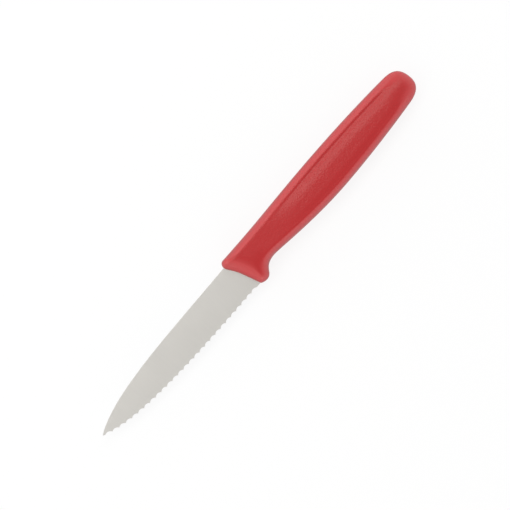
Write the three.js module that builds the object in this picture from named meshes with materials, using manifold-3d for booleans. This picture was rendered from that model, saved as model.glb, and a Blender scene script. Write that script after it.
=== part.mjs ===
// A paring knife lying on its flank: a wavy-edged steel blade, with its tang moulded into a plastic handle.
// Units are millimetres. X runs from the point to the butt, Y towards the spine, and Z is up.
// Places are taken from the end of the blade's nominal length, on the axis and the mid-plane of the sheet.

import * as THREE from 'three';
import { mergeVertices } from 'three/addons/utils/BufferGeometryUtils.js';
import Module from 'manifold-3d';

const wasm = await Module();
wasm.setup();

// Blade: heights are above the axis, depths below it
const bladeLength = 80;
const spineHeight = 6.2;
const heelDepth = 7.95;
const pointHeight = 0.1;
const spineBend = 54; // length of spine that curves down to the point
const spineEase = 21; // pull of the straight spine on that curve
const pointRise = new THREE.Vector2(10.5, 5.7); // pull of the point on the spine's curve
const pointFall = new THREE.Vector2(7, -4.4); // pull of the point on the edge's curve
const edgeEase = 56; // pull of the straight edge on its curve
const sheetThickness = 1.2;
const edgeThickness = 0.35; // left at the heel by the flat grind of the cheeks
const pointThickness = 0.5;
const grindEnd = 3.4; // the grind runs this far into the handle

// Wavy edge, ground into one cheek
const scallopPitch = 2.96;
const scallopDepth = 0.65;
const toothLand = 0.12; // blunt tip left between two scallops
const scallopSlope = THREE.MathUtils.degToRad(20); // of the ground hollow against the cheek
const cutterLength = 12;
const cutterSides = 72;

// Tang, hidden in the handle
const shoulderRun = 4.5; // full height of the blade runs this far into the handle
const shoulderFillet = 1.5;
const upperShoulder = 2; // step down from the spine to the tang
const lowerShoulder = 4.5; // step up from the heel to the tang
const tangLength = 66;
const keyRadius = 2; // key holes that the handle's plastic fills
const frontKey = 20;
const rearKey = 16; // from the end of the tang
const tangClearance = 0.3;

// Outline of the handle, from the front edge to the butt
const handleLength = 97.7;
const frontPlace = 0.25; // middle of the front edge
const frontLead = 2.57; // upper end of the front edge, ahead of the blade's nominal end
const frontLag = 2.2; // lower end of the front edge, behind it
const frontPull = new THREE.Vector2(-1.35, 4.5); // pull of the middle on the upper front edge
const frontEase = 1.5; // pull of the upright end on the upper front edge
const spineCover = 2.1; // top of the handle above the blade's spine
const cornerRun = 1.95; // rounded corner above the blade's spine
const cornerRise = 1.1;
const cornerEase = 1.15;
const guardCover = 1.13; // finger guard below the heel
const guardPlace = 5;
const guardDrop = 0.35;
const guardPull = 1.4;
const guardBack = 3.3;
const notchPlace = 13.6; // finger notch behind the guard
const notchCover = 1.6; // plastic left under the tang there
const notchFront = 6.2;
const notchBack = 3;
const bellyPlace = 53;
const bellyDepth = 8.6;
const bellyFront = 19;
const bellyBack = 12;
const waistDip = 0.5; // pull that hollows the back of the handle behind its front corner
const crestPlace = 44;
const crestHeight = 8.35;
const crestFront = 20;
const crestBack = 15;
const buttRun = 7.2;
const buttTop = 6.57;
const buttBottom = 7.04;
const buttTopPull = 5.1;
const buttBottomPull = 4.2;
const buttTaper = 0.083; // slope of the outline where the butt begins

// Cross-section of the handle, by the distance from its outline: rounded rims, then panels up to a flat land
const handleThickness = 12;
const spineForm = { rim: 2.65, sweep: THREE.MathUtils.degToRad(65), fall: 0.72, groove: 0.2, panel: 8.2 };
const bellyForm = { rim: 2.6, sweep: THREE.MathUtils.degToRad(84), fall: 0.3, groove: 0, panel: 5.5 };
const noseRim = 7;
const buttRim = 10;
const grooveWall = 0.6; // run of the wall between the spine's rim and its panel
const crownStart = 18; // the groove and the falls fade in from here
const crownFull = 44;
const crownFade = 16; // they fade out between these distances from the butt
const crownEnd = 6;
const guardFull = 5; // the guard's dome narrows to the belly's rim between these places
const guardEnd = 14;
const buttStart = 16; // the sides widen to the butt's dome between these distances from its end
const buttFull = 4;
const noseFocus = 10; // the rows of points fan out from here to the front edge

// Steps of the faceted surface
const noseSteps = 26;
const bodySteps = 34;
const buttSteps = 12;
const rimSteps = 6;
const panelSteps = 5;
const lineSteps = 40; // short lines along each curve, to measure distances from
const curveSteps = 28;
const leastAside = 0.001; // keeps a sum of inverse distances finite on the outline itself

// Places that several pieces share
const midLevel = (spineHeight - heelDepth) / 2;
const handleTop = spineHeight + spineCover;
const guardDepth = heelDepth + guardCover;
const tangTop = spineHeight - upperShoulder;
const tangDepth = heelDepth - lowerShoulder;
const tangLevel = (tangTop - tangDepth) / 2;
const tangRadius = (tangTop + tangDepth) / 2;
const notchDepth = tangDepth + notchCover;
const frontDrop = (spineHeight + heelDepth) / 4;
const buttFocus = handleLength - buttRun;

// Closed solid of a geometry, without the triangles that its repeated points make empty
function toSolid(geometry) {
  const bare = new THREE.BufferGeometry();
  bare.setAttribute('position', geometry.getAttribute('position'));
  bare.setIndex(geometry.getIndex());
  const merged = mergeVertices(bare, 1e-4);
  const corners = merged.getIndex().array;
  const kept = [];
  for (let i = 0; i < corners.length; i += 3) {
    const [a, b, c] = corners.subarray(i, i + 3);
    if (a !== b && b !== c && c !== a) kept.push(a, b, c);
  }
  const mesh = new wasm.Mesh({
    numProp: 3,
    vertProperties: merged.getAttribute('position').array,
    triVerts: new Uint32Array(kept),
  });
  return new wasm.Manifold(mesh);
}

// Faceted geometry of a closed solid
function toGeometry(solid) {
  const mesh = solid.getMesh();
  const geometry = new THREE.BufferGeometry();
  geometry.setAttribute('position', new THREE.BufferAttribute(mesh.vertProperties, 3));
  geometry.setIndex(new THREE.BufferAttribute(mesh.triVerts, 1));
  geometry.computeVertexNormals();
  return geometry;
}

// Line through the tips of the teeth, from the heel to the point
function edgeLine() {
  const heel = new THREE.Vector2(0, -heelDepth);
  const point = new THREE.Vector2(-bladeLength, pointHeight);
  const heelPull = new THREE.Vector2(-edgeEase, -heelDepth);
  return new THREE.CubicBezierCurve(heel, heelPull, point.clone().add(pointFall), point);
}

// Flat outline of the whole steel blank, grown on every side for the pocket that it sits in
function blankShape(grow) {
  const shape = new THREE.Shape();
  const spine = spineHeight + grow;
  const heel = heelDepth + grow;
  const shoulder = shoulderRun + grow;
  const filletPlace = shoulderRun + shoulderFillet;
  const upperFillet = tangTop + shoulderFillet;
  const lowerFillet = -tangDepth - shoulderFillet;
  const filletRadius = shoulderFillet - grow;
  const bendStart = spineBend - bladeLength;
  const edge = edgeLine();
  shape.moveTo(-bladeLength, pointHeight);
  shape.bezierCurveTo(
    pointRise.x - bladeLength, pointHeight + pointRise.y + grow,
    bendStart - spineEase, spine,
    bendStart, spine,
  );
  shape.lineTo(shoulder, spine);
  shape.lineTo(shoulder, upperFillet);
  shape.absarc(filletPlace, upperFillet, filletRadius, Math.PI, Math.PI * 1.5, false);
  shape.absarc(tangLength - tangRadius, tangLevel, tangRadius + grow, Math.PI / 2, -Math.PI / 2, true);
  shape.lineTo(filletPlace, lowerFillet + filletRadius);
  shape.absarc(filletPlace, lowerFillet, filletRadius, Math.PI / 2, Math.PI, false);
  shape.lineTo(shoulder, -heel);
  shape.lineTo(edge.v0.x, -heel);
  shape.bezierCurveTo(edge.v1.x, -heel, edge.v2.x, edge.v2.y - grow, edge.v3.x, edge.v3.y);
  for (const place of [frontKey, tangLength - rearKey]) {
    const key = new THREE.Path();
    key.absarc(place, tangLevel, keyRadius - grow, 0, Math.PI * 2, false);
    shape.holes.push(key);
  }
  return shape;
}

// Half thickness of the flat-ground blade: it thins from the spine to the edge and towards the point
function cheekHeight(x, y) {
  const edgeTaper = (sheetThickness - edgeThickness) / 2 / (spineHeight + heelDepth);
  const pointDrop = (spineHeight - pointHeight) * edgeTaper;
  const pointTaper = (sheetThickness / 2 - pointDrop - pointThickness / 2) / bladeLength;
  return sheetThickness / 2 - (spineHeight - y) * edgeTaper + x * pointTaper;
}

// Block that grinds one cheek flat, its lower face on the cheek
function cheekCutter(grow) {
  const reach = spineHeight + heelDepth;
  const block = new THREE.BoxGeometry(2 * bladeLength, 2 * reach, sheetThickness);
  block.translate(grindEnd - grow - bladeLength, 0, 0);
  const corners = block.getAttribute('position');
  for (let i = 0; i < corners.count; i++) {
    const above = corners.getZ(i) > 0 ? 2 * sheetThickness : grow;
    corners.setZ(i, cheekHeight(corners.getX(i), corners.getY(i)) + above);
  }
  return toSolid(block);
}

// Steel blank with both cheeks ground, grown on every side by a clearance
function blankSolid(grow) {
  const depth = sheetThickness + 2 * grow;
  const sheet = new THREE.ExtrudeGeometry(blankShape(grow), {
    depth,
    bevelEnabled: false,
    curveSegments: curveSteps,
  });
  sheet.translate(0, 0, -depth / 2);
  const cutter = cheekCutter(grow);
  return toSolid(sheet).subtract(cutter).subtract(cutter.mirror([0, 0, 1]));
}

// Round cutter of one scallop, leaning out of the lower cheek, its lowest line at the scallop's bottom
function scallopCutter(edge, share) {
  const chord = scallopPitch - toothLand;
  const sagitta = scallopDepth * Math.sin(scallopSlope);
  const radius = (chord * chord / 4 + sagitta * sagitta) / (2 * sagitta);
  const tip = edge.getPointAt(share);
  const along = edge.getTangentAt(share);
  const inward = new THREE.Vector3(along.y, -along.x, 0);
  const bottom = new THREE.Vector3(tip.x, tip.y, 0).addScaledVector(inward, scallopDepth);
  bottom.z = cheekHeight(bottom.x, bottom.y);
  const axis = inward.clone().multiplyScalar(Math.cos(scallopSlope));
  axis.z = -Math.sin(scallopSlope);
  const outward = inward.clone().multiplyScalar(-Math.sin(scallopSlope));
  outward.z = -Math.cos(scallopSlope);
  const cylinder = new THREE.CylinderGeometry(radius, radius, cutterLength, cutterSides);
  const side = new THREE.Vector3().crossVectors(outward, axis);
  const placing = new THREE.Matrix4().makeBasis(outward, axis, side);
  placing.setPosition(bottom.addScaledVector(outward, radius));
  return toSolid(cylinder.applyMatrix4(placing));
}

// Blade with its scallops, counted from the plain heel to the point
function bladeSolid() {
  const edge = edgeLine();
  const length = edge.getLength();
  const count = Math.floor(length / scallopPitch);
  let blade = blankSolid(0);
  for (let i = 0; i < count; i++) {
    blade = blade.subtract(scallopCutter(edge, (i + 0.5) * scallopPitch / length));
  }
  return blade;
}

// Upper half of the handle's outline: front edge, corner, spine and butt
function upperOutline() {
  const path = new THREE.Path();
  const cornerEnd = cornerRun - frontLead;
  path.moveTo(frontPlace, midLevel);
  path.bezierCurveTo(
    frontPlace + frontPull.x, midLevel + frontPull.y,
    -frontLead, spineHeight - frontEase,
    -frontLead, spineHeight,
  );
  path.bezierCurveTo(
    -frontLead, spineHeight + cornerRise,
    cornerEnd - cornerEase, handleTop,
    cornerEnd, handleTop,
  );
  path.bezierCurveTo(
    cornerEnd + crestFront, handleTop - waistDip,
    crestPlace - crestFront, crestHeight,
    crestPlace, crestHeight,
  );
  path.bezierCurveTo(
    crestPlace + crestBack, crestHeight,
    buttFocus - crestBack, buttTop + crestBack * buttTaper,
    buttFocus, buttTop,
  );
  path.bezierCurveTo(
    buttFocus + buttTopPull, buttTop - buttTopPull * buttTaper,
    handleLength, midLevel + buttTopPull,
    handleLength, midLevel,
  );
  return path;
}

// Lower half of the handle's outline: front edge, finger guard, notch, belly and butt
function lowerOutline() {
  const path = new THREE.Path();
  path.moveTo(frontPlace, midLevel);
  path.quadraticCurveTo((frontPlace + frontLag) / 2, midLevel - frontDrop, frontLag, -heelDepth);
  path.bezierCurveTo(
    frontLag, -heelDepth - guardDrop,
    guardPlace - guardPull, -guardDepth,
    guardPlace, -guardDepth,
  );
  path.bezierCurveTo(
    guardPlace + guardBack, -guardDepth,
    notchPlace - notchFront, -notchDepth,
    notchPlace, -notchDepth,
  );
  path.bezierCurveTo(
    notchPlace + notchBack, -notchDepth,
    bellyPlace - bellyFront, -bellyDepth,
    bellyPlace, -bellyDepth,
  );
  path.bezierCurveTo(
    bellyPlace + bellyBack, -bellyDepth,
    buttFocus - bellyBack, -buttBottom - bellyBack * buttTaper,
    buttFocus, -buttBottom,
  );
  path.bezierCurveTo(
    buttFocus + buttBottomPull, buttBottomPull * buttTaper - buttBottom,
    handleLength, midLevel - buttBottomPull,
    handleLength, midLevel,
  );
  return path;
}

// Share of an outline's length at which it reaches a place along the handle
function shareAt(path, place) {
  let low = 0;
  let high = 1;
  for (let i = 0; i < 40; i++) {
    const middle = (low + high) / 2;
    if (path.getPoint(middle).x < place) low = middle;
    else high = middle;
  }
  return low;
}

// Strength of the groove and the falls along the handle
function crownAt(x) {
  const rise = THREE.MathUtils.smoothstep(x, crownStart, crownFull);
  const fall = THREE.MathUtils.smoothstep(x, handleLength - crownFade, handleLength - crownEnd);
  return rise * (1 - fall);
}

// Short straight lines along some curves
function linesAlong(curves) {
  const lines = [];
  for (const curve of curves) {
    const points = curve.getSpacedPoints(lineSteps).map((point) => new THREE.Vector3(point.x, point.y, 0));
    for (let i = 0; i < lineSteps; i++) lines.push(new THREE.Line3(points[i], points[i + 1]));
  }
  return lines;
}

// Stretches of the handle's outline that shape its cross-section
function outlineStretches(upper, lower) {
  return {
    spine: linesAlong(upper.curves.slice(2, 4)),
    belly: linesAlong(lower.curves.slice(2, 5)),
    nose: linesAlong([...upper.curves.slice(0, 2), lower.curves[0]]),
    guard: linesAlong([upper.curves[0], ...lower.curves.slice(0, 4)]),
    whole: linesAlong([...upper.curves, ...lower.curves]),
  };
}

// Distance from a place to the nearest of some lines
function distanceTo(place, lines) {
  const nearest = new THREE.Vector3();
  return Math.min(...lines.map((line) => line.closestPointToPoint(place, true, nearest).distanceTo(place)));
}

// Distance to some lines, eased where they turn: it comes from the sum of inverse fourth powers along them
function roundedDistanceTo(place, lines) {
  let total = 0;
  for (const line of lines) {
    const way = line.delta(new THREE.Vector3());
    const length = way.length();
    const gap = place.clone().sub(line.start);
    const along = gap.dot(way) / length;
    const aside = Math.abs(gap.x * way.y - gap.y * way.x) / length + leastAside;
    for (const [run, sign] of [[length - along, 1], [-along, -1]]) {
      total += sign * (run * aside / (run * run + aside * aside) + Math.atan(run / aside)) / aside ** 3;
    }
  }
  return Math.cbrt(Math.PI / total);
}

// Drop of a rounded rim below its crest
function rimDrop(depth, width, sweep) {
  const share = Math.min(depth / width, 1);
  const angle = Math.acos(1 - share * (1 - Math.cos(sweep)));
  return handleThickness / 2 * (1 - Math.sin(angle) / Math.sin(sweep));
}

// Drop of one side below the land: its rim, the groove's wall and a panel that rises to the land
function sideDrop(depth, form, crown) {
  const flank = handleThickness / 2;
  const fall = crown * form.fall;
  const arc = rimDrop(depth, form.rim, form.sweep) / flank;
  if (depth < form.rim) return THREE.MathUtils.lerp(fall, flank, arc);
  const panelStart = form.rim + grooveWall;
  const wall = Math.min((depth - form.rim) / grooveWall, 1);
  const rise = THREE.MathUtils.clamp((depth - panelStart) / (form.panel - panelStart), 0, 1);
  return (fall + crown * form.groove * wall) * (1 - rise) ** 2;
}

// Height of the flank above the mid-plane
function flankHeight(place, stretches) {
  const { lerp, smoothstep } = THREE.MathUtils;
  const crown = crownAt(place.x);
  const spine = sideDrop(distanceTo(place, stretches.spine), spineForm, crown);
  const belly = sideDrop(distanceTo(place, stretches.belly), bellyForm, crown);
  const nose = rimDrop(distanceTo(place, stretches.nose), noseRim, Math.PI / 2);
  const guard = rimDrop(roundedDistanceTo(place, stretches.guard), noseRim, Math.PI / 2);
  const butt = rimDrop(roundedDistanceTo(place, stretches.whole), buttRim, Math.PI / 2);
  const under = lerp(guard, belly, smoothstep(place.x, guardFull, guardEnd));
  const buttShare = smoothstep(place.x, handleLength - buttStart, handleLength - buttFull);
  return handleThickness / 2 - lerp(Math.max(spine, under, nose), butt, buttShare);
}

// Points over one flank from the outline to the mid-level, close together on the rim
function spoke(outline, focus, stretches) {
  const reach = new THREE.Vector2().subVectors(focus, outline);
  const length = reach.length();
  const { rim, sweep } = spineForm;
  const insets = [];
  for (let i = 1; i <= rimSteps; i++) {
    insets.push(rim * (1 - Math.cos(sweep * i / rimSteps)) / (1 - Math.cos(sweep)));
  }
  for (let i = 0; i <= panelSteps; i++) {
    insets.push(THREE.MathUtils.lerp(rim + grooveWall, length, i / panelSteps));
  }
  const points = [new THREE.Vector3(outline.x, outline.y, 0)];
  for (const inset of insets) {
    const place = points[0].clone();
    place.x += reach.x * inset / length;
    place.y += reach.y * inset / length;
    place.z = flankHeight(place, stretches);
    points.push(place);
  }
  return points;
}

// Closed ring of points round the handle through one pair of outline points
function ring(upper, lower, focus, stretches) {
  const over = spoke(upper, focus, stretches);
  const under = spoke(lower, focus, stretches).reverse();
  const flank = over.concat(under.slice(1));
  const mirrored = flank.slice(1, -1).reverse().map((point) => new THREE.Vector3(point.x, point.y, -point.z));
  return flank.concat(mirrored);
}

// Rings from the front edge to the butt: they fan out at both ends and stand upright between them
function handleRings() {
  const upper = upperOutline();
  const lower = lowerOutline();
  const upperNose = shareAt(upper, noseFocus);
  const lowerNose = shareAt(lower, noseFocus);
  const upperButt = shareAt(upper, buttFocus);
  const lowerButt = shareAt(lower, buttFocus);
  const stretches = outlineStretches(upper, lower);
  const rings = [];
  const addRing = (upperShare, lowerShare, x) => {
    const focus = new THREE.Vector2(x, midLevel);
    rings.push(ring(upper.getPoint(upperShare), lower.getPoint(lowerShare), focus, stretches));
  };
  for (let i = 0; i < noseSteps; i++) {
    addRing(upperNose * i / noseSteps, lowerNose * i / noseSteps, noseFocus);
  }
  for (let i = 0; i < bodySteps; i++) {
    const x = THREE.MathUtils.lerp(noseFocus, buttFocus, i / bodySteps);
    addRing(shareAt(upper, x), shareAt(lower, x), x);
  }
  for (let i = 0; i <= buttSteps; i++) {
    const share = i / buttSteps;
    addRing(
      THREE.MathUtils.lerp(upperButt, 1, share),
      THREE.MathUtils.lerp(lowerButt, 1, share),
      buttFocus,
    );
  }
  return rings;
}

// Grip with the pocket of the tang, its keys left standing in the pocket
function handleSolid() {
  const rings = handleRings();
  const around = rings[0].length;
  const corners = [];
  for (let i = 0; i < rings.length - 1; i++) {
    for (let k = 0; k < around; k++) {
      const next = (k + 1) % around;
      corners.push(i * around + k, i * around + next, (i + 1) * around + k);
      corners.push(i * around + next, (i + 1) * around + next, (i + 1) * around + k);
    }
  }
  const grip = new THREE.BufferGeometry().setFromPoints(rings.flat());
  grip.setIndex(corners);
  return toSolid(grip).subtract(blankSolid(tangClearance));
}

// Named pieces, each with its own material
function piece(name, solid, material) {
  const mesh = new THREE.Mesh(toGeometry(solid), new THREE.MeshStandardMaterial(material));
  mesh.name = name;
  return mesh;
}

const pieces = new THREE.Group();
pieces.add(piece('blade', bladeSolid(), { color: 0xcccbc7, metalness: 1, roughness: 0.35 }));
pieces.add(piece('handle', handleSolid(), { color: 0xb93f43, metalness: 0, roughness: 0.5 }));

// The origin is under the middle of the knife, on the surface that it lies on
const box = new THREE.Box3().setFromObject(pieces);
const middle = box.getCenter(new THREE.Vector3());
pieces.position.set(-middle.x, -middle.y, -box.min.z);

const knife = new THREE.Group();
knife.add(pieces);

export default knife;
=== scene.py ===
"""Looks of a paring knife that lies on its flank: a satin steel blade with a wavy edge, and a red handle."""

import math

import bmesh
import bpy
import numpy as np
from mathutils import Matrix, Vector


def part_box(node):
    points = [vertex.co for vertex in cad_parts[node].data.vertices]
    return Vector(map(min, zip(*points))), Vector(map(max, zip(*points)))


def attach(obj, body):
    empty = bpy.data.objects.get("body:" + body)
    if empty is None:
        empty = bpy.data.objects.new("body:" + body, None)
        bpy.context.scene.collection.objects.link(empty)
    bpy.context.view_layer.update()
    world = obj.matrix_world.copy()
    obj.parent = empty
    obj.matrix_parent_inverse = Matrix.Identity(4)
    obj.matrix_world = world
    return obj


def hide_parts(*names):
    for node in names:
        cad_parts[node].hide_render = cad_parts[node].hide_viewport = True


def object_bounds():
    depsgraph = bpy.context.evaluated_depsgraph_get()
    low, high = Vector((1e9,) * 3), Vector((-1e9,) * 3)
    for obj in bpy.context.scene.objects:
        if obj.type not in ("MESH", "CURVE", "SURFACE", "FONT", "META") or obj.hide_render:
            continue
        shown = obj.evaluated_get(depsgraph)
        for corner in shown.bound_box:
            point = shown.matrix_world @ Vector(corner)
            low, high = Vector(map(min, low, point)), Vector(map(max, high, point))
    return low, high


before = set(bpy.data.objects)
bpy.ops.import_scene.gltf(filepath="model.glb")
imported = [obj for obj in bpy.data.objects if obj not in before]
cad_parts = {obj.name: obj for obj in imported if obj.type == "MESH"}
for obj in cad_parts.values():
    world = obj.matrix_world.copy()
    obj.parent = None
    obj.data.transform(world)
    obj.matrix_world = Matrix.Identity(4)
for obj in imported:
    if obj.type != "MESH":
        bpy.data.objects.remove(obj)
cad_low, cad_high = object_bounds()

# Blade in millimetres, from the end of its nominal length, as in the part's source
BLADE_LENGTH = 80.0
SPINE_HEIGHT = 6.2
HEEL_DEPTH = 7.95
POINT_HEIGHT = 0.1
SPINE_BEND = 54.0
SPINE_EASE = 21.0
POINT_RISE = (10.5, 5.7)
POINT_FALL = (7.0, -4.4)
EDGE_EASE = 56.0
SHEET_THICKNESS = 1.2
EDGE_THICKNESS = 0.35
POINT_THICKNESS = 0.5
EDGE_TAPER = (SHEET_THICKNESS - EDGE_THICKNESS) / 2 / (SPINE_HEIGHT + HEEL_DEPTH)
GRIND_END = 3.4
SPINE_CORNER = 0.06  # radius of the spine's two corners
SHARP_THICKNESS = 0.02  # steel left at the very edge
POINT_GAP = 0.02  # the rings stop this short of the point
HEEL_RUN = 1.0  # the first scallop runs out into the plain heel over this length
HEEL_START = HEEL_RUN + 0.5  # first ring of the plain heel

# Wavy edge, ground into the lower cheek
SCALLOP_PITCH = 2.96
SCALLOP_DEPTH = 0.65
TOOTH_LAND = 0.12
SCALLOP_SLOPE = math.radians(20)

# Tang, hidden in the handle
SHOULDER_RUN = 4.5
SHOULDER_FILLET = 1.5
TANG_TOP = SPINE_HEIGHT - 2.0
TANG_DEPTH = HEEL_DEPTH - 4.5
TANG_LENGTH = 66.0
TANG_LEVEL = (TANG_TOP - TANG_DEPTH) / 2
TANG_RADIUS = (TANG_TOP + TANG_DEPTH) / 2
TANG_TURN = math.pi / 2 - 0.01  # at a full quarter turn the last ring of its round end would have no width
KEY_RADIUS = 2.0
KEY_PLACES = (20.0, TANG_LENGTH - 16.0)
PIN_REACH = 2.0  # half length of the cutters for the key holes
STEP_RUN = 0.02  # run of the hidden steps at the shoulder and the end of the grind
MOULD_GAP = 0.02  # the plastic sits this close round the steel
POCKET_START = -6.0  # ahead of the handle's front edge

# Outline of the handle
MID_LEVEL = (SPINE_HEIGHT - HEEL_DEPTH) / 2
HANDLE_LENGTH = 97.7
FRONT_PLACE = 0.25
FRONT_LEAD = 2.57
FRONT_LAG = 2.2
FRONT_PULL = (-1.35, 4.5)
FRONT_EASE = 1.5
FRONT_DROP = (SPINE_HEIGHT + HEEL_DEPTH) / 4
HANDLE_TOP = SPINE_HEIGHT + 2.1
CORNER_RUN = 1.95
CORNER_RISE = 1.1
CORNER_EASE = 1.15
GUARD_DEPTH = HEEL_DEPTH + 1.13
GUARD_PLACE = 5.0
GUARD_DROP = 0.35
GUARD_PULL = 1.4
GUARD_BACK = 3.3
NOTCH_DEPTH = TANG_DEPTH + 1.6
NOTCH_PLACE = 13.6
NOTCH_FRONT = 6.2
NOTCH_BACK = 3.0
BELLY_DEPTH = 8.6
BELLY_PLACE = 53.0
BELLY_FRONT = 19.0
BELLY_BACK = 12.0
WAIST_DIP = 0.5
CREST_HEIGHT = 8.35
CREST_PLACE = 44.0
CREST_FRONT = 20.0
CREST_BACK = 15.0
BUTT_RUN = 7.2
BUTT_TOP = 6.57
BUTT_BOTTOM = 7.04
BUTT_TOP_PULL = 5.1
BUTT_BOTTOM_PULL = 4.2
BUTT_TAPER = 0.083

# Cross-section of the handle, by the distance from its outline: rounded rims, then panels up to a flat land.
# A rim's arc sweeps so far round and ends in a crest that lies its fall below the land.
# The groove is a little wider and shallower here than in the part's source.
HANDLE_THICKNESS = 12.0
NOSE_RIM = 7.0
BUTT_RIM = 10.0
SPINE_FORM = dict(rim=2.6, sweep=math.radians(65), fall=0.72, groove=0.16, panel=8.2, softness=0.22)
BELLY_FORM = dict(rim=2.6, sweep=math.radians(84), fall=0.3, groove=0.0, panel=5.5, softness=0.35)
GROOVE_WALL = 0.95
RIM_SOFTENING = (0.3, 0.6)  # the softening of a side's corners sets in between these shares of its rim
MITRE_SOFTNESS = 0.3
CROWN_RISE = (18.0, 44.0)  # the groove and the falls fade in and out between these places
CROWN_FALL = (HANDLE_LENGTH - 16.0, HANDLE_LENGTH - 6.0)
GUARD_FADE = (5.0, 14.0)  # the guard's dome narrows to the belly's rim
BUTT_FADE = (HANDLE_LENGTH - 16.0, HANDLE_LENGTH - 4.0)  # the sides widen to the butt's dome
NOSE_FOCUS = 10.0  # the rows of points fan out from here to the front edge
BUTT_FOCUS = HANDLE_LENGTH - BUTT_RUN
PARTING_HEIGHT = 0.04  # ridge left where the two halves of the mould met
PARTING_WIDTH = 0.12
SKIN_INSET = 0.015  # the smooth skin stays this far inside the part's facets

# Steps along and round the blade
SCALLOP_STEPS = 20
HEEL_STEPS = 8
POINT_STEPS = 16
FILLET_STEPS = 9
TANG_STEPS = 17
PIN_SIDES = 64
EDGE_ROWS = np.array([0, 0.04, 0.1, 0.2, 0.32, 0.45, 0.6, 0.75, 0.9, 1.05, 1.2, 1.4, 1.7, 2.1])
CHEEK_ROWS = 26
CORNER_ROWS = 5
CORNER_SUPPORT = 1.5  # place of the last row before the spine's corner, in corner radii
FULL_COLUMN = 5.0  # columns of points shorter than this draw their rows together
LEAST_COLUMN = 0.02  # shortest column, next to the point

# Steps along and over the handle
NOSE_STEPS = 130
BODY_STEPS = 161
BUTT_STEPS = 60
RIM_ROWS = 24
RIM_REACH = 2.1  # the rim's rows end this far from the outline
GROOVE_ROWS = 15
GROOVE_REACH = (2.2, 3.6)  # the groove's rows lie between these distances
PANEL_ROWS = 20

# Steps and limits of the sums
CURVE_STEPS = 200
LINE_STRIDE = 5  # steps of a curve in each straight line that distances are taken from
HEADING_STEP = 0.05
TABLE_STEP = 0.01
SOFT_REACH = 4  # reach of the softening, in softnesses
LEAST_ASIDE = 0.001  # keeps a sum of inverse distances finite on the outline itself
LEAST_REACH = 1e-9  # keeps a mitre's division finite
MERGE_DISTANCE = 1e-7  # in metres
EMPTY_LENGTH = 1e-8  # in metres
QUARTER = math.pi / 2

# The knife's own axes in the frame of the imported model
MM = 0.001
blade_low, blade_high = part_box("blade")
ORIGIN = np.array([
    blade_low.x + BLADE_LENGTH * MM,
    blade_high.y - SPINE_HEIGHT * MM,
    (cad_low.z + cad_high.z) / 2,
])

# Red plastic: grained flanks and smoother rims, with painted shade that moves the upward-facing flanks, and
# the steep walls more, to the dark red
FLANK_FACING = (0.9, 0.97)  # upright share of the normal, from the rims to the flanks
STEEP_FACING = (0.55, 0.28)  # and from the rims to the steep walls
PLASTIC_DARK = (0.345, 0.0135, 0.014)
PLASTIC_LIGHT = (0.464, 0.018, 0.0255)
GRAIN_SHADE = (0.75, 1.0)  # place between the dark and the light red
FLANK_PAINTED_SHADE = 0.38  # painted shade: taken off that place on the flanks, which face up, so the rims stay lighter
STEEP_PAINTED_SHADE = 0.8  # painted shade: taken off that place on the steep walls as well
GRAIN_SCALE = 1700.0
GRAIN_HEIGHT = 0.0001
FRONT_GRAIN = 0.6  # share of the grain on the front of the handle
PLASTIC_ROUGHNESS = (0.38, 0.34)  # of the rims and the flanks
PLASTIC_GLOSS = (0.64, 0.425)
STEEP_GLOSS = 0.4
PLASTIC_CLOUDS = 90.0
PLASTIC_UNEVEN = (-0.04, 0.04)
PLASTIC_IOR = 1.5

# Satin steel, ground across the blade
STEEL_DARK = (0.665, 0.665, 0.67)
STEEL_LIGHT = (0.705, 0.705, 0.71)
LINE_SCALE = 6000.0
LINE_STRETCH = 0.02
LINE_HEIGHT = 0.000004
LINE_STRENGTH = 0.5
STEEL_ROUGHNESS = (0.36, 0.44)
STEEL_CLOUDS = 120.0
STEEL_UNEVEN = (-0.02, 0.02)

# Floor, light and camera in metres
FLOOR_COLOUR = (0.86, 0.885, 0.945, 1)
FLOOR_GLOW = 0.86  # share of plain white that the camera and reflections see
FLOOR_REACH = 3.0
LIGHT_TINT = (1.0, 0.97, 0.905)
TENT_FALLOFF = 3.0
LAMP_DISTANCE = 0.8
AXIS_ANGLE = math.radians(49.7)  # the knife's axis above the picture's horizontal
VIEW_CENTRE = (8.843, 0.376)  # millimetres in the knife's own axes
VIEW_DISTANCE = 0.5328
LENS = 100.0
SENSOR_WIDTH = 36.0
CLIP_RANGE = (0.01, 20.0)

# Edges sharper than these stay crisp, in degrees
BLADE_CREASE = 25
HANDLE_CREASE = 40


def bezier(*pulls):
    """Points along a Bezier curve through the first and the last of its control points."""
    share = np.linspace(0, 1, CURVE_STEPS + 1)[:, None]
    points = [np.array(pull, float) for pull in pulls]
    while len(points) > 1:
        points = [a + (b - a) * share for a, b in zip(points, points[1:])]
    return points[0]


def chain(*curves):
    """One line from curves that each start where the one before ends."""
    return np.vstack([curves[0], *[curve[1:] for curve in curves[1:]]])


def run_of(line):
    """Distance along a line at each of its points."""
    return np.concatenate([[0], np.cumsum(np.linalg.norm(np.diff(line, axis=0), axis=1))])


def resample(line, places):
    """Points of a line at these distances along it."""
    run = run_of(line)
    return np.column_stack([np.interp(places, run, axis) for axis in line.T])


def headings(line, places):
    """Directions of a line at these distances along it."""
    total = run_of(line)[-1]
    ahead = resample(line, np.minimum(places + HEADING_STEP, total))
    behind = resample(line, np.maximum(places - HEADING_STEP, 0))
    ways = ahead - behind
    return ways / np.linalg.norm(ways, axis=1)[:, None]


def smoothstep(value, low, high):
    """Smooth rise from 0 to 1 between two values."""
    share = np.clip((value - low) / (high - low), 0, 1)
    return share * share * (3 - 2 * share)


def lerp(first, second, share):
    """Value between two others."""
    return first + (second - first) * share


def place_object(name, data):
    """New object in the scene."""
    made = bpy.data.objects.new(name, data)
    bpy.context.scene.collection.objects.link(made)
    return made


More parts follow.
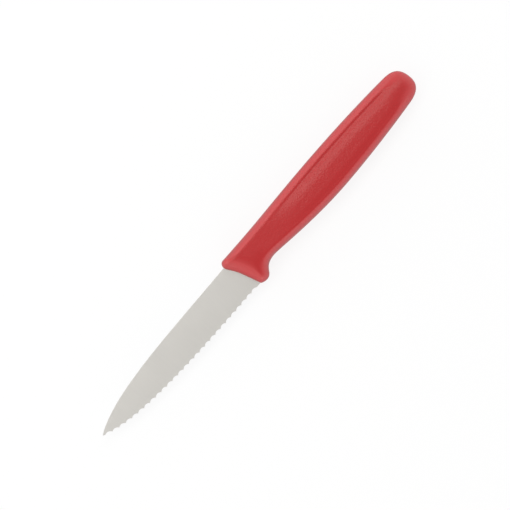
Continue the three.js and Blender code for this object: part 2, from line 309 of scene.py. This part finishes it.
def new_solid(name, points, faces):
    """Object whose mesh is given in the knife's own axes, with coincident points merged."""
    mesh = bpy.data.meshes.new(name)
    mesh.from_pydata((np.asarray(points) * MM + ORIGIN).tolist(), [], faces)
    shape = bmesh.new()
    shape.from_mesh(mesh)
    bmesh.ops.remove_doubles(shape, verts=shape.verts, dist=MERGE_DISTANCE)
    bmesh.ops.dissolve_degenerate(shape, edges=shape.edges, dist=EMPTY_LENGTH)
    bmesh.ops.recalc_face_normals(shape, faces=shape.faces)
    shape.to_mesh(mesh)
    shape.free()
    return place_object(name, mesh)


def cut(piece, *cutters):
    """Cuts solids out of a piece for good, and removes them."""
    for cutter in cutters:
        modifier = piece.modifiers.new("cut", "BOOLEAN")
        modifier.object = cutter
        modifier.solver = "EXACT"
    graph = bpy.context.evaluated_depsgraph_get()
    mesh = bpy.data.meshes.new_from_object(piece.evaluated_get(graph))
    piece.modifiers.clear()
    piece.data = mesh
    for cutter in cutters:
        bpy.data.objects.remove(cutter)


def loft(name, rings):
    """Solid through closed rings of points, with a flat face at each end."""
    count, around = rings.shape[:2]
    index = np.arange(count * around).reshape(count, around)
    after = np.roll(index, -1, axis=1)
    faces = np.stack([index[:-1], after[:-1], after[1:], index[1:]], axis=-1).reshape(-1, 4).tolist()
    return new_solid(name, rings.reshape(-1, 3), faces + [index[0].tolist(), index[-1].tolist()])


def edge_line():
    """Line through the tips of the teeth, from the heel to the point."""
    point = np.array([-BLADE_LENGTH, POINT_HEIGHT])
    return bezier((0, -HEEL_DEPTH), (-EDGE_EASE, -HEEL_DEPTH), point + POINT_FALL, point)


def spine_line():
    """Spine from the point to where it runs straight, and on into the handle."""
    bend = SPINE_BEND - BLADE_LENGTH
    point = np.array([-BLADE_LENGTH, POINT_HEIGHT])
    curve = bezier(point, point + POINT_RISE, (bend - SPINE_EASE, SPINE_HEIGHT), (bend, SPINE_HEIGHT))
    return chain(curve, np.array([(bend, SPINE_HEIGHT), (SHOULDER_RUN, SPINE_HEIGHT)]))


def cheek_height(x, y, grind_end):
    """Half thickness of the steel: flat-ground up to a place in the handle, and plain sheet behind it."""
    point_drop = (SPINE_HEIGHT - POINT_HEIGHT) * EDGE_TAPER
    point_taper = (SHEET_THICKNESS / 2 - point_drop - POINT_THICKNESS / 2) / BLADE_LENGTH
    ground = SHEET_THICKNESS / 2 - (SPINE_HEIGHT - y) * EDGE_TAPER + x * point_taper
    return np.where(x > grind_end + STEP_RUN / 2, SHEET_THICKNESS / 2, ground)


def scallop_sag(offset):
    """Rise of a scallop's round hollow away from its middle."""
    chord = SCALLOP_PITCH - TOOTH_LAND
    sagitta = SCALLOP_DEPTH * math.sin(SCALLOP_SLOPE)
    radius = (chord * chord / 4 + sagitta * sagitta) / (2 * sagitta)
    return radius - np.sqrt(radius * radius - offset * offset)


def column_scale(length):
    """Share by which a short column draws its rows together."""
    return min(1, length / FULL_COLUMN)


def column_rows(length):
    """Distances up one column of the blade, close together at the edge and at the spine's corner."""
    scale = column_scale(length)
    edge = EDGE_ROWS * scale
    corner = SPINE_CORNER * (1 - np.cos(np.linspace(0, QUARTER, CORNER_ROWS)))
    cheek = np.linspace(edge[-1], length - CORNER_SUPPORT * SPINE_CORNER * scale, CHEEK_ROWS)
    return np.concatenate([edge, cheek[1:], length - corner[::-1] * scale])


def blade_ring(foot, inward, length, hollow, grow):
    """Closed ring round one column of the steel: up its upper cheek and down its lower one."""
    rise = column_rows(length)
    x = foot[0] + inward[0] * rise
    y = foot[1] + inward[1] * rise
    top = cheek_height(x, y, GRIND_END - grow)
    bottom = -top
    if hollow:
        level, slope, depth = hollow
        bottom = np.maximum(bottom, level - (rise - depth) * slope)
    inset = np.clip(SPINE_CORNER * column_scale(length) - (length - rise), 0, None)
    rounding = SPINE_CORNER - np.sqrt(np.maximum(SPINE_CORNER ** 2 - inset ** 2, 0))
    under = np.minimum(bottom + rounding, top - SHARP_THICKNESS) - grow
    over = top - rounding + grow
    return np.vstack([np.column_stack([x, y, over]), np.column_stack([x, y, under])[::-1]])


def edge_places(total, count):
    """Distances along the edge: over the run-out in the heel, scallop by scallop, and on to the point."""
    scallops = np.linspace(0, count * SCALLOP_PITCH, count * SCALLOP_STEPS + 1)
    return np.concatenate([
        np.linspace(0, HEEL_RUN, HEEL_STEPS)[:-1],
        HEEL_RUN + scallops[:-1],
        np.linspace(HEEL_RUN + scallops[-1], total - POINT_GAP, POINT_STEPS),
    ])


def ground_rings():
    """Rings of the blade's wavy part, from the run-out of the first scallop in the heel to the point."""
    line = chain(np.array([(HEEL_RUN, -HEEL_DEPTH), (0, -HEEL_DEPTH)]), edge_line())
    total = run_of(line)[-1]
    count = int((total - HEEL_RUN) / SCALLOP_PITCH)
    places = edge_places(total, count)
    spine = spine_line()
    slope = math.tan(SCALLOP_SLOPE)
    rings = []
    for place, foot, way in zip(places - HEEL_RUN, resample(line, places), headings(line, places)):
        inward = np.array([way[1], -way[0]])
        reach = np.interp(0, (foot - spine) @ way, (spine - foot) @ inward)
        middle = (np.clip(place // SCALLOP_PITCH, 0, count - 1) + 0.5) * SCALLOP_PITCH
        sag = scallop_sag(place - middle) / math.cos(SCALLOP_SLOPE)
        bottom = foot + inward * SCALLOP_DEPTH
        level = cheek_height(*bottom, GRIND_END) - sag
        start = max(0.0, SCALLOP_DEPTH - sag / (slope + EDGE_TAPER))
        hollow = (level, slope, SCALLOP_DEPTH - start)
        rings.append(blade_ring(foot + inward * start, inward, max(reach - start, LEAST_COLUMN), hollow, 0))
    return rings


def sheet_rings(start, grow):
    """Rings of the plain heel, the shoulder and the tang, from a place on the heel to the tang's end."""
    steps = [start, GRIND_END - grow, GRIND_END - grow + STEP_RUN, SHOULDER_RUN + grow]
    outline = [(x, -HEEL_DEPTH - grow, SPINE_HEIGHT + grow) for x in steps]
    fillet = SHOULDER_FILLET - grow
    for turn in np.linspace(0, QUARTER, FILLET_STEPS):
        x = SHOULDER_RUN + SHOULDER_FILLET - fillet * math.cos(turn)
        drop = SHOULDER_FILLET - fillet * math.sin(turn)
        outline.append((x + STEP_RUN, -TANG_DEPTH - drop, TANG_TOP + drop))
    for turn in np.linspace(0, TANG_TURN, TANG_STEPS):
        half = (TANG_RADIUS + grow) * math.cos(turn)
        x = TANG_LENGTH - TANG_RADIUS + (TANG_RADIUS + grow) * math.sin(turn)
        outline.append((x, TANG_LEVEL - half, TANG_LEVEL + half))
    up = np.array([0.0, 1.0])
    return [blade_ring(np.array([x, low]), up, high - low, None, grow) for x, low, high in outline]


def key_pins(grow):
    """Round cutters for the tang's key holes."""
    turn = np.linspace(0, 2 * math.pi, PIN_SIDES, endpoint=False)
    pins = []
    for place in KEY_PLACES:
        x = place + (KEY_RADIUS - grow) * np.cos(turn)
        y = TANG_LEVEL + (KEY_RADIUS - grow) * np.sin(turn)
        rings = [np.column_stack([x, y, np.full(PIN_SIDES, z)]) for z in (-PIN_REACH, PIN_REACH)]
        pins.append(loft("pin", np.array(rings)))
    return pins


def make_blade():
    """Blade with its wavy edge and its hidden tang."""
    rings = ground_rings()[::-1] + sheet_rings(HEEL_START, 0)
    blade = loft("blade_satin", np.array(rings))
    cut(blade, *key_pins(0))
    return blade


def upper_curves():
    """Front edge, corner, waist, back and butt of the handle's upper outline."""
    middle = (FRONT_PLACE, MID_LEVEL)
    front = (-FRONT_LEAD, SPINE_HEIGHT)
    corner = (CORNER_RUN - FRONT_LEAD, HANDLE_TOP)
    crest = (CREST_PLACE, CREST_HEIGHT)
    butt = (BUTT_FOCUS, BUTT_TOP)
    end = (HANDLE_LENGTH, MID_LEVEL)
    return [
        bezier(middle, (FRONT_PLACE + FRONT_PULL[0], MID_LEVEL + FRONT_PULL[1]),
               (-FRONT_LEAD, SPINE_HEIGHT - FRONT_EASE), front),
        bezier(front, (-FRONT_LEAD, SPINE_HEIGHT + CORNER_RISE),
               (corner[0] - CORNER_EASE, HANDLE_TOP), corner),
        bezier(corner, (corner[0] + CREST_FRONT, HANDLE_TOP - WAIST_DIP),
               (CREST_PLACE - CREST_FRONT, CREST_HEIGHT), crest),
        bezier(crest, (CREST_PLACE + CREST_BACK, CREST_HEIGHT),
               (BUTT_FOCUS - CREST_BACK, BUTT_TOP + CREST_BACK * BUTT_TAPER), butt),
        bezier(butt, (BUTT_FOCUS + BUTT_TOP_PULL, BUTT_TOP - BUTT_TOP_PULL * BUTT_TAPER),
               (HANDLE_LENGTH, MID_LEVEL + BUTT_TOP_PULL), end),
    ]


def lower_curves():
    """Front edge, finger guard, notch, belly, tail and butt of the handle's lower outline."""
    middle = (FRONT_PLACE, MID_LEVEL)
    front = (FRONT_LAG, -HEEL_DEPTH)
    guard = (GUARD_PLACE, -GUARD_DEPTH)
    notch = (NOTCH_PLACE, -NOTCH_DEPTH)
    belly = (BELLY_PLACE, -BELLY_DEPTH)
    butt = (BUTT_FOCUS, -BUTT_BOTTOM)
    end = (HANDLE_LENGTH, MID_LEVEL)
    return [
        bezier(middle, ((FRONT_PLACE + FRONT_LAG) / 2, MID_LEVEL - FRONT_DROP), front),
        bezier(front, (FRONT_LAG, -HEEL_DEPTH - GUARD_DROP),
               (GUARD_PLACE - GUARD_PULL, -GUARD_DEPTH), guard),
        bezier(guard, (GUARD_PLACE + GUARD_BACK, -GUARD_DEPTH),
               (NOTCH_PLACE - NOTCH_FRONT, -NOTCH_DEPTH), notch),
        bezier(notch, (NOTCH_PLACE + NOTCH_BACK, -NOTCH_DEPTH),
               (BELLY_PLACE - BELLY_FRONT, -BELLY_DEPTH), belly),
        bezier(belly, (BELLY_PLACE + BELLY_BACK, -BELLY_DEPTH),
               (BUTT_FOCUS - BELLY_BACK, -BUTT_BOTTOM - BELLY_BACK * BUTT_TAPER), butt),
        bezier(butt, (BUTT_FOCUS + BUTT_BOTTOM_PULL, BUTT_BOTTOM_PULL * BUTT_TAPER - BUTT_BOTTOM),
               (HANDLE_LENGTH, MID_LEVEL - BUTT_BOTTOM_PULL), end),
    ]


def stations(line):
    """Points of an outline from the front edge to the butt: fans at both ends, upright sections between."""
    run = run_of(line)
    body = slice(np.argmin(line[:, 0]), np.argmax(line[:, 0]) + 1)
    x, y = line[body].T
    nose = np.interp(NOSE_FOCUS, x, run[body])
    butt = np.interp(BUTT_FOCUS, x, run[body])
    sections = np.linspace(NOSE_FOCUS, BUTT_FOCUS, BODY_STEPS + 1)
    return np.vstack([
        resample(line, np.linspace(0, nose, NOSE_STEPS + 1)[:-1]),
        np.column_stack([sections, np.interp(sections, x, y)]),
        resample(line, np.linspace(butt, run[-1], BUTT_STEPS + 1)[1:]),
    ])


def lines_along(curves):
    """Ends of short straight lines along some curves."""
    for curve in curves:
        yield from zip(curve[:-1:LINE_STRIDE], curve[LINE_STRIDE::LINE_STRIDE])


def distance(places, curves):
    """Distance from each place to the nearest of some curves."""
    nearest = np.full(places.shape[:-1], np.inf)
    for start, end in lines_along(curves):
        way = end - start
        share = np.clip((places - start) @ way / (way @ way), 0, 1)
        gap = places - start - share[..., None] * way
        nearest = np.minimum(nearest, np.hypot(gap[..., 0], gap[..., 1]))
    return nearest


def rounded_distance(places, curves):
    """Distance to some curves, eased where they turn, from the sum of inverse fourth powers along them."""
    total = np.zeros(places.shape[:-1])
    for start, end in lines_along(curves):
        length = np.linalg.norm(end - start)
        way = (end - start) / length
        gap = places - start
        along = gap @ way
        aside = np.abs(gap[..., 0] * way[1] - gap[..., 1] * way[0]) + LEAST_ASIDE
        for run, sign in ((length - along, 1), (-along, -1)):
            total += sign * (run * aside / (run ** 2 + aside ** 2) + np.arctan(run / aside)) / aside ** 3
    return np.cbrt(math.pi / total)


def rim_drop(depth, width, sweep=QUARTER):
    """Drop of a rounded rim below its crest."""
    share = np.clip(depth / width, 0, 1)
    angle = np.arccos(1 - share * (1 - math.cos(sweep)))
    return HANDLE_THICKNESS / 2 * (1 - np.sin(angle) / math.sin(sweep))


def side_drop(depth, rim, sweep, fall, groove, panel, softness):
    """Drop below the land from a rim over its groove to the end of its panel, with the corners softened."""
    table = np.arange(0, 2 * panel, TABLE_STEP)
    start = rim + GROOVE_WALL
    rise = np.clip((table - start) / (panel - start), 0, 1)
    beyond = np.interp(table, [rim, start], [fall, fall + groove]) * (1 - rise) ** 2
    arc = rim_drop(table, rim, sweep)
    sharp = np.where(table < rim, arc + fall * (1 - arc / arc[0]), beyond)
    reach = round(SOFT_REACH * softness / TABLE_STEP)
    kernel = np.exp(-0.5 * (np.arange(-reach, reach + 1) * TABLE_STEP / softness) ** 2)
    soft = np.convolve(np.pad(sharp, reach, "edge"), kernel / kernel.sum(), "valid")
    begin, full = RIM_SOFTENING
    return np.interp(depth, table, lerp(sharp, soft, smoothstep(table, begin * rim, full * rim)))


def crowned_drop(depth, form, crown):
    """Drop of one side, from its plain form to the one with all of its fall and groove."""
    plain = {**form, "fall": 0, "groove": 0}
    return lerp(side_drop(depth, **plain), side_drop(depth, **form), crown)


def deeper(first, second):
    """Larger of two drops, with the mitre between them rounded."""
    high = np.maximum(first, second)
    reach = np.minimum(MITRE_SOFTNESS, high) + LEAST_REACH
    return high + np.clip(reach - np.abs(first - second), 0, None) ** 2 / (4 * reach)


def flank_height(places):
    """Height of the upper flank above the mid-plane."""
    upper, lower = upper_curves(), lower_curves()
    x = places[..., 0]
    crown = smoothstep(x, *CROWN_RISE) * (1 - smoothstep(x, *CROWN_FALL))
    spine = crowned_drop(distance(places, upper[2:4]), SPINE_FORM, crown)
    belly = crowned_drop(distance(places, lower[2:5]), BELLY_FORM, crown)
    nose = rim_drop(distance(places, upper[:2] + lower[:1]), NOSE_RIM)
    guard = rim_drop(rounded_distance(places, upper[:1] + lower[:4]), NOSE_RIM)
    butt = rim_drop(rounded_distance(places, upper + lower), BUTT_RIM)
    drop = deeper(spine, lerp(guard, belly, smoothstep(x, *GUARD_FADE)))
    drop = lerp(deeper(drop, nose), butt, smoothstep(x, *BUTT_FADE))
    return np.maximum(HANDLE_THICKNESS / 2 - drop, 0)


def row_insets(length):
    """Distances of the rows from the outline: close together on the rim and the groove, even on the panel."""
    rim = RIM_REACH * (1 - np.cos(np.linspace(0, QUARTER, RIM_ROWS)))
    groove = np.linspace(*GROOVE_REACH, GROOVE_ROWS)
    near = np.concatenate([rim, groove])[None, :, None] + np.zeros_like(length)
    panel = lerp(GROOVE_REACH[1], length, np.linspace(0, 1, PANEL_ROWS)[None, 1:, None])
    return np.concatenate([near, panel], axis=1)


def flank_grid(curves):
    """Points over half of the upper flank, in rows from the outline to the mid-level."""
    outline = stations(chain(*curves))
    focus = np.clip(outline[:, 0], NOSE_FOCUS, BUTT_FOCUS)
    reach = (np.column_stack([focus, np.full(len(focus), MID_LEVEL)]) - outline)[:, None]
    length = np.linalg.norm(reach, axis=2, keepdims=True)
    inset = row_insets(length)
    places = outline[:, None] + reach * inset / length
    height = flank_height(places)
    height[:, 0] = 0
    ridge = PARTING_HEIGHT * (1 - np.exp(-(height / PARTING_WIDTH) ** 2))
    places += reach / length * (1 - inset / length) * (SKIN_INSET + ridge)[..., None]
    return np.concatenate([places, height[..., None]], axis=2)


def grip_solid():
    """Closed grip: both halves of the upper flank, and their mirror images below."""
    halves = [flank_grid(upper_curves()), flank_grid(lower_curves())]
    grids = np.array([half * [1, 1, side] for half in halves for side in (1, -1)])
    index = np.arange(grids.size // 3).reshape(grids.shape[:3])
    corners = [index[:, :-1, :-1], index[:, :-1, 1:], index[:, 1:, 1:], index[:, 1:, :-1]]
    quads = np.stack(corners, axis=-1).reshape(-1, 4).tolist()
    return new_solid("handle_moulded", grids.reshape(-1, 3), quads)


def make_handle():
    """Grip with the pocket that the steel sits in, its plastic keys left standing."""
    handle = grip_solid()
    pocket = loft("pocket", np.array(sheet_rings(POCKET_START, MOULD_GAP)))
    cut(pocket, *key_pins(MOULD_GAP))
    cut(handle, pocket)
    return handle


def finish_mesh(piece, angle):
    """Smooth shading, broken at edges sharper than an angle."""
    piece.data.polygons.foreach_set("use_smooth", [True] * len(piece.data.polygons))
    piece.data.set_sharp_from_angle(angle=math.radians(angle))
    piece.data.update()


def add_node(tree, kind, inputs=None, **settings):
    """New shader node, its settings given and its inputs set or linked."""
    node = tree.nodes.new(kind)
    for name, value in settings.items():
        setattr(node, name, value)
    for name, value in (inputs or {}).items():
        if isinstance(value, bpy.types.NodeSocket):
            tree.links.new(value, node.inputs[name])
        else:
            node.inputs[name].default_value = value
    return node


def new_material(name):
    """Empty node material and its tree."""
    material = bpy.data.materials.new(name)
    material.use_nodes = True
    material.node_tree.nodes.clear()
    return material, material.node_tree


def combine(tree, operation, *values):
    """Result of a calculation with one or two values."""
    return add_node(tree, "ShaderNodeMath", dict(enumerate(values)), operation=operation).outputs[0]


def remap(tree, value, source, target=(0.0, 1.0)):
    """Value moved from one range to another."""
    ranges = {"From Min": source[0], "From Max": source[1], "To Min": target[0], "To Max": target[1]}
    return add_node(tree, "ShaderNodeMapRange", {"Value": value, **ranges}).outputs["Result"]


def spread(tree, value, target):
    """Value from 0 to 1 spread over a range."""
    return remap(tree, value, (0.0, 1.0), target)


def noise(tree, vector, scale, detail):
    """Level of a noise texture."""
    inputs = {"Vector": vector, "Scale": scale, "Detail": detail}
    return add_node(tree, "ShaderNodeTexNoise", inputs).outputs["Fac"]


def relief(tree, height, depth, strength):
    """Normal of a surface with a fine relief."""
    inputs = {"Height": height, "Distance": depth, "Strength": strength}
    return add_node(tree, "ShaderNodeBump", inputs).outputs["Normal"]


def axis_of(tree, vector, name):
    """One axis of a vector."""
    return add_node(tree, "ShaderNodeSeparateXYZ", {"Vector": vector}).outputs[name]


def blend(tree, share, first, second):
    """Colour between two others."""
    node = add_node(tree, "ShaderNodeMix", data_type="RGBA")
    tree.links.new(share, node.inputs["Factor"])
    for socket, colour in zip([s for s in node.inputs if s.type == "RGBA"], (first, second)):
        socket.default_value = (*colour, 1)
    return next(s for s in node.outputs if s.type == "RGBA")


def principled(tree, inputs):
    """Principled shader as the surface of a material."""
    shader = add_node(tree, "ShaderNodeBsdfPrincipled", inputs)
    add_node(tree, "ShaderNodeOutputMaterial", {"Surface": shader.outputs["BSDF"]})


def plastic_material():
    """Semi-matte red plastic: spark-eroded grain on the flanks, smoother rims, slightly uneven gloss, and
    painted shade on the flanks and the steep walls.
    """
    material, tree = new_material("red_plastic_grained")
    coords = add_node(tree, "ShaderNodeTexCoord").outputs
    upright = combine(tree, "ABSOLUTE", axis_of(tree, coords["Normal"], "Z"))
    flank = remap(tree, upright, FLANK_FACING)
    steep = remap(tree, upright, STEEP_FACING)
    grain = noise(tree, coords["Object"], GRAIN_SCALE, detail=1)
    clouds = noise(tree, coords["Object"], PLASTIC_CLOUDS, detail=2)
    rise = [ORIGIN[0] + place * MM for place in CROWN_RISE]
    grip = remap(tree, axis_of(tree, coords["Object"], "X"), rise, (FRONT_GRAIN, 1.0))
    shown = combine(tree, "MULTIPLY", grain, combine(tree, "MULTIPLY", flank, grip))
    # painted shade: the colour moves towards the dark red where the surface faces up (flanks) and where it is
    # steep (walls), standing in for the light that falls there
    flank_painted_shade = spread(tree, flank, (0.0, FLANK_PAINTED_SHADE))
    steep_painted_shade = spread(tree, steep, (0.0, STEEP_PAINTED_SHADE))
    painted_shade_sum = combine(tree, "ADD", flank_painted_shade, steep_painted_shade)
    # random grain tone, less the painted shade
    grain_and_painted_shade = combine(tree, "SUBTRACT", spread(tree, grain, GRAIN_SHADE), painted_shade_sum)
    dull = spread(tree, flank, PLASTIC_ROUGHNESS)
    gloss = spread(tree, flank, PLASTIC_GLOSS)
    principled(tree, {
        "Base Color": blend(tree, grain_and_painted_shade, PLASTIC_DARK, PLASTIC_LIGHT),
        "Roughness": combine(tree, "ADD", dull, spread(tree, clouds, PLASTIC_UNEVEN)),
        "Normal": relief(tree, shown, GRAIN_HEIGHT, strength=1.0),
        "IOR": PLASTIC_IOR,
        "Specular IOR Level": combine(tree, "MULTIPLY", gloss, spread(tree, steep, (1.0, STEEP_GLOSS))),
    })
    return material


def steel_material():
    """Satin stainless steel with fine grinding lines across the blade."""
    material, tree = new_material("steel_satin")
    coords = add_node(tree, "ShaderNodeTexCoord").outputs["Object"]
    stretch = (1, LINE_STRETCH, LINE_STRETCH)
    across = add_node(tree, "ShaderNodeMapping", {"Vector": coords, "Scale": stretch}).outputs["Vector"]
    lines = noise(tree, across, LINE_SCALE, detail=4)
    clouds = noise(tree, coords, STEEL_CLOUDS, detail=2)
    dull = spread(tree, lines, STEEL_ROUGHNESS)
    principled(tree, {
        "Base Color": blend(tree, lines, STEEL_DARK, STEEL_LIGHT),
        "Metallic": 1.0,
        "Roughness": combine(tree, "ADD", dull, spread(tree, clouds, STEEL_UNEVEN)),
        "Normal": relief(tree, lines, LINE_HEIGHT, strength=LINE_STRENGTH),
    })
    return material


def floor_material():
    """Pale floor that the camera and reflections see as white, with the object's shadow kept."""
    material, tree = new_material("floor_white")
    path = add_node(tree, "ShaderNodeLightPath").outputs
    seen = combine(tree, "MAXIMUM", path["Is Camera Ray"], path["Is Glossy Ray"])
    seen = combine(tree, "MAXIMUM", seen, path["Is Transmission Ray"])
    matte = add_node(tree, "ShaderNodeBsdfDiffuse", {"Color": FLOOR_COLOUR}).outputs["BSDF"]
    glow = add_node(tree, "ShaderNodeEmission", {"Color": (1, 1, 1, 1)}).outputs["Emission"]
    share = spread(tree, seen, (0.0, FLOOR_GLOW))
    mixed = add_node(tree, "ShaderNodeMixShader", {0: share, 1: matte, 2: glow}).outputs["Shader"]
    add_node(tree, "ShaderNodeOutputMaterial", {"Surface": mixed})
    return material


def make_floor():
    """Square floor under the knife."""
    corners = [(x * FLOOR_REACH, y * FLOOR_REACH, 0) for x, y in ((-1, -1), (1, -1), (1, 1), (-1, 1))]
    mesh = bpy.data.meshes.new("floor")
    mesh.from_pydata(corners, [], [(0, 1, 2, 3)])
    mesh.materials.append(floor_material())
    floor = place_object("floor", mesh)


def make_world(zenith, horizon):
    """Light tent: dim overhead, where the camera is, and much brighter towards the horizon."""
    world = bpy.data.worlds.new("tent")
    world.use_nodes = True
    tree = world.node_tree
    tree.nodes.clear()
    coords = add_node(tree, "ShaderNodeTexCoord").outputs["Generated"]
    lowness = spread(tree, axis_of(tree, coords, "Z"), (1.0, 0.0))
    level = spread(tree, combine(tree, "POWER", lowness, TENT_FALLOFF), (zenith, horizon))
    glow = add_node(tree, "ShaderNodeBackground", {"Color": (*LIGHT_TINT, 1), "Strength": level})
    add_node(tree, "ShaderNodeOutputWorld", {"Surface": glow.outputs["Background"]})
    bpy.context.scene.world = world


def make_lamp(name, heading, elevation, size, power):
    """Soft rectangular lamp that faces the knife, its heading measured from the knife's axis."""
    data = bpy.data.lights.new(name, "AREA")
    data.shape = "RECTANGLE"
    data.size, data.size_y = size
    data.energy = power
    data.color = LIGHT_TINT
    turn, lift = math.radians(heading), math.radians(elevation)
    way = Vector((math.cos(turn) * math.cos(lift), math.sin(turn) * math.cos(lift), math.sin(lift)))
    lamp = place_object(name, data)
    lamp.location = way * LAMP_DISTANCE
    lamp.rotation_euler = (-way).to_track_quat("-Z", "Y").to_euler()


def make_camera():
    """Camera straight above the knife, turned as in the photograph."""
    data = bpy.data.cameras.new("camera")
    data.sensor_width = SENSOR_WIDTH
    data.lens = LENS
    data.clip_start, data.clip_end = CLIP_RANGE
    camera = place_object("camera", data)
    camera.location = ORIGIN + (*np.array(VIEW_CENTRE) * MM, VIEW_DISTANCE)
    camera.rotation_euler = (0, 0, -AXIS_ANGLE)
    bpy.context.scene.camera = camera


def dress(piece, node, material):
    """Gives a piece its finish and lets it stand for its CAD node."""
    piece.data.materials.clear()
    piece.data.materials.append(material)
    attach(piece, "root")
    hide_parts(node)


blade = make_blade()
finish_mesh(blade, BLADE_CREASE)
dress(blade, "blade", steel_material())

handle = make_handle()
finish_mesh(handle, HANDLE_CREASE)
dress(handle, "handle", plastic_material())

make_floor()
make_world(zenith=0.5, horizon=2.2)
make_lamp("key_lamp", heading=90, elevation=67, size=(1.6, 0.3), power=4.1)
make_lamp("spine_lamp", heading=98, elevation=14, size=(1.0, 0.4), power=0.88)
make_lamp("belly_lamp", heading=-118, elevation=14, size=(1.0, 0.4), power=0.72)
make_lamp("nose_lamp", heading=-155, elevation=42, size=(0.9, 0.5), power=0.7)
make_lamp("butt_lamp", heading=-10, elevation=42, size=(0.9, 0.5), power=0.3)
make_camera()
bpy.context.scene.view_settings.view_transform = "Standard"
